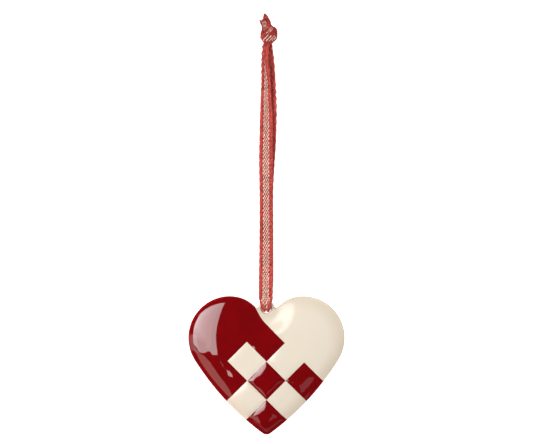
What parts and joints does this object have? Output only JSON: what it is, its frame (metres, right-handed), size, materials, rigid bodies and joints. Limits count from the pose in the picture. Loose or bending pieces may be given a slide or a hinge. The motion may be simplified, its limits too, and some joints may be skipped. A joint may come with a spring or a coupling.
{
  "type": "hanging heart ornament",
  "caption": "Puffed enamelled metal heart with a woven two-colour pattern in low relief, an eyelet in the cleft and a knotted loop of woven tape, lying on its flat back.",
  "frame": {"origin": "under the middle of the heart, on the surface that its flat back lies on", "axes": "+Z out of the front face, +X across the heart to the cream lobe, +Y from the tip to the cleft and on along the ribbon"},
  "size_m": [0.07, 0.1886, 0.009],
  "materials": {
    "enamel": "glossy enamel in deep red and cream over metal",
    "woven_tape": "woven cotton tape, red edges with a cream flecked centre"
  },
  "bodies": {
    "root": {"heart": "enamel", "ribbon_loop": "woven_tape", "ribbon_knot": "woven_tape"}
  },
  "joints": []
}
